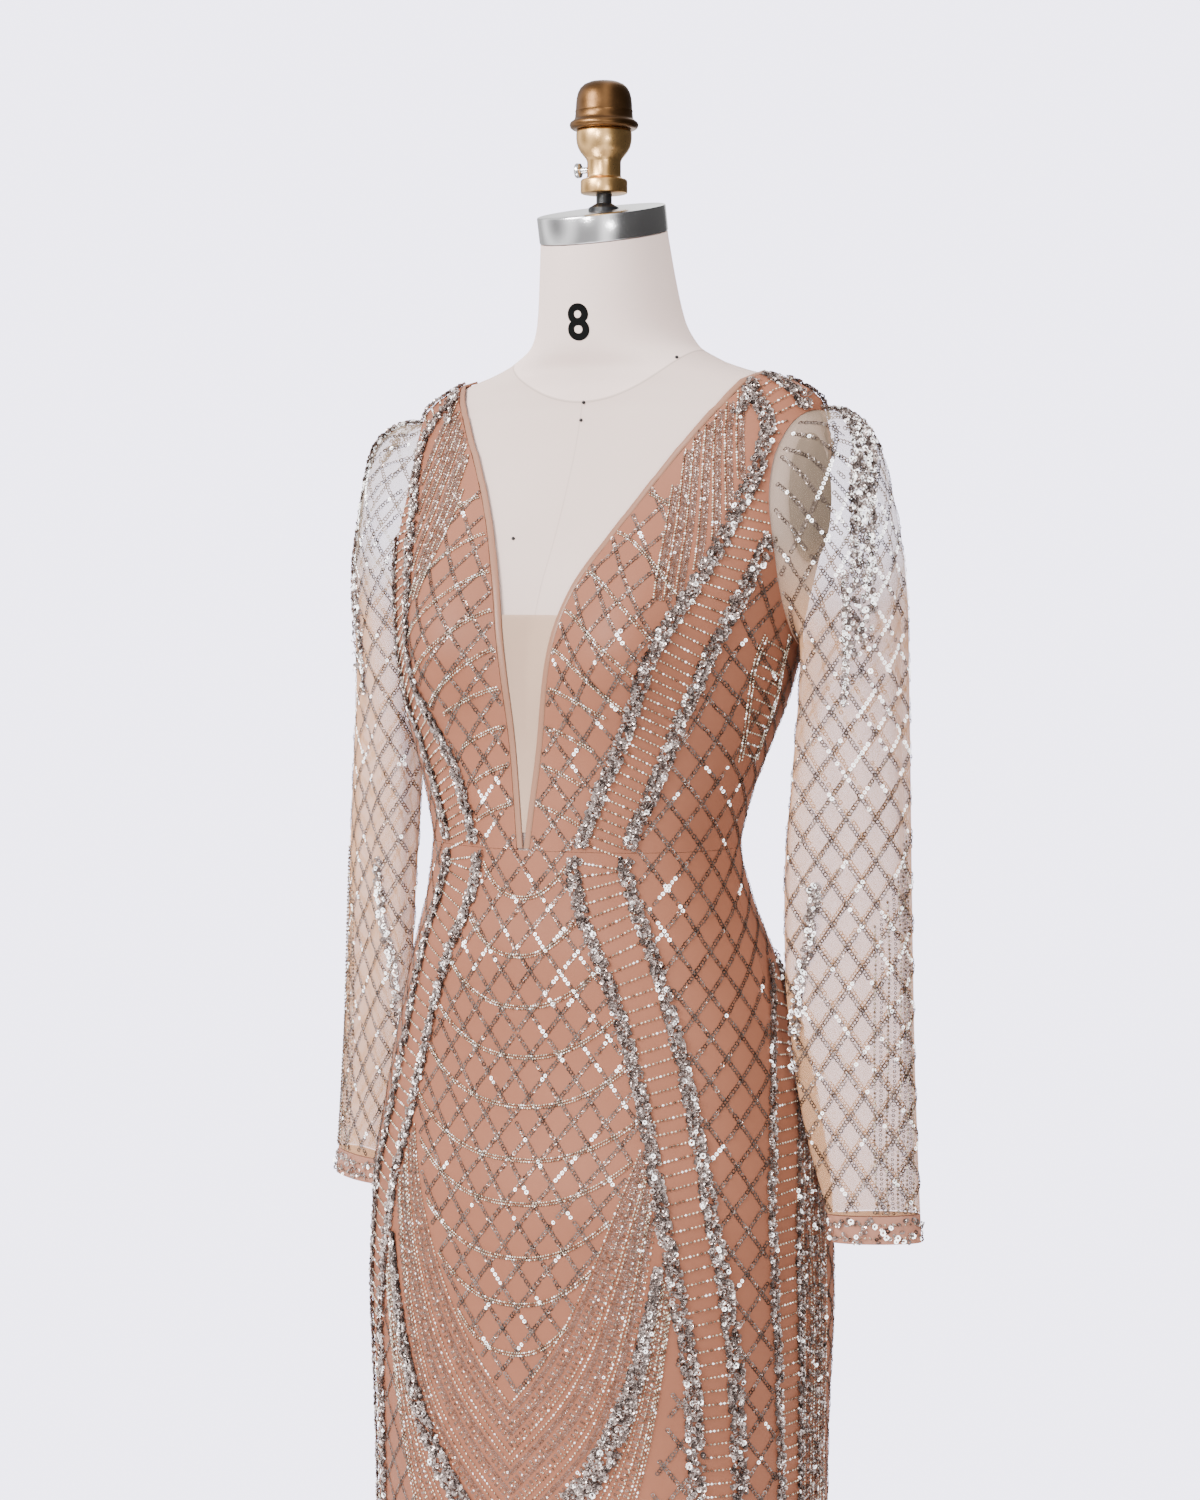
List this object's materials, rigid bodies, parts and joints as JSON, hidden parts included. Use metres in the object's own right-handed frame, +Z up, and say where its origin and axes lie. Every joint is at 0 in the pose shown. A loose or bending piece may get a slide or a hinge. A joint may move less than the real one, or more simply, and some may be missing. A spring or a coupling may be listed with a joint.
{
  "type": "evening gown on dress form",
  "caption": "Floor-length beaded evening gown with a deep V neckline and long sheer sleeves, standing on a limbless dress form with a round base.",
  "frame": {"origin": "on the floor at the middle of the stand's base, under the form's pole", "axes": "+Z up along the pole, -Y towards the front of the gown, +X towards the wearer's left"},
  "size_m": [0.572, 0.486, 1.6764],
  "materials": {
    "beaded_net": "blush net over nude lining, sewn all over with clear and silver sequins and beads",
    "binding_satin": "nude satin binding",
    "insert_mesh": "fine beige stretch mesh",
    "sleeve_net": "sheer ivory net with clear sequins",
    "cuff_satin": "nude satin cuff band with clear beads",
    "form_linen": "cream linen cover, stretched smooth",
    "arm_plate": "darker linen over a flat oval board",
    "cap_steel": "brushed steel",
    "black_steel": "black gloss paint",
    "aged_brass": "aged brass, tarnished brown",
    "stand_iron": "black painted iron"
  },
  "bodies": {
    "root": {"bodice_front_left": "beaded_net", "bodice_front_right": "beaded_net", "bodice_back_left": "beaded_net", "bodice_back_right": "beaded_net", "neck_binding_front_left": "binding_satin", "neck_binding_front_right": "binding_satin", "neck_binding_back_left": "binding_satin", "neck_binding_back_right": "binding_satin", "skirt_front": "beaded_net", "skirt_back_left": "beaded_net", "skirt_back_right": "beaded_net", "neck_insert": "insert_mesh", "sleeve_left": "sleeve_net", "sleeve_right": "sleeve_net", "cuff_left": "cuff_satin", "cuff_right": "cuff_satin", "form_torso": "form_linen", "arm_plate_left": "arm_plate", "arm_plate_right": "arm_plate", "neck_cap": "cap_steel", "neck_pole": "black_steel", "finial_cup": "aged_brass", "finial_dome": "aged_brass", "clamp_screw": "cap_steel", "stand_base": "stand_iron", "pole_socket": "stand_iron", "stand_pole": "black_steel"}
  },
  "joints": []
}
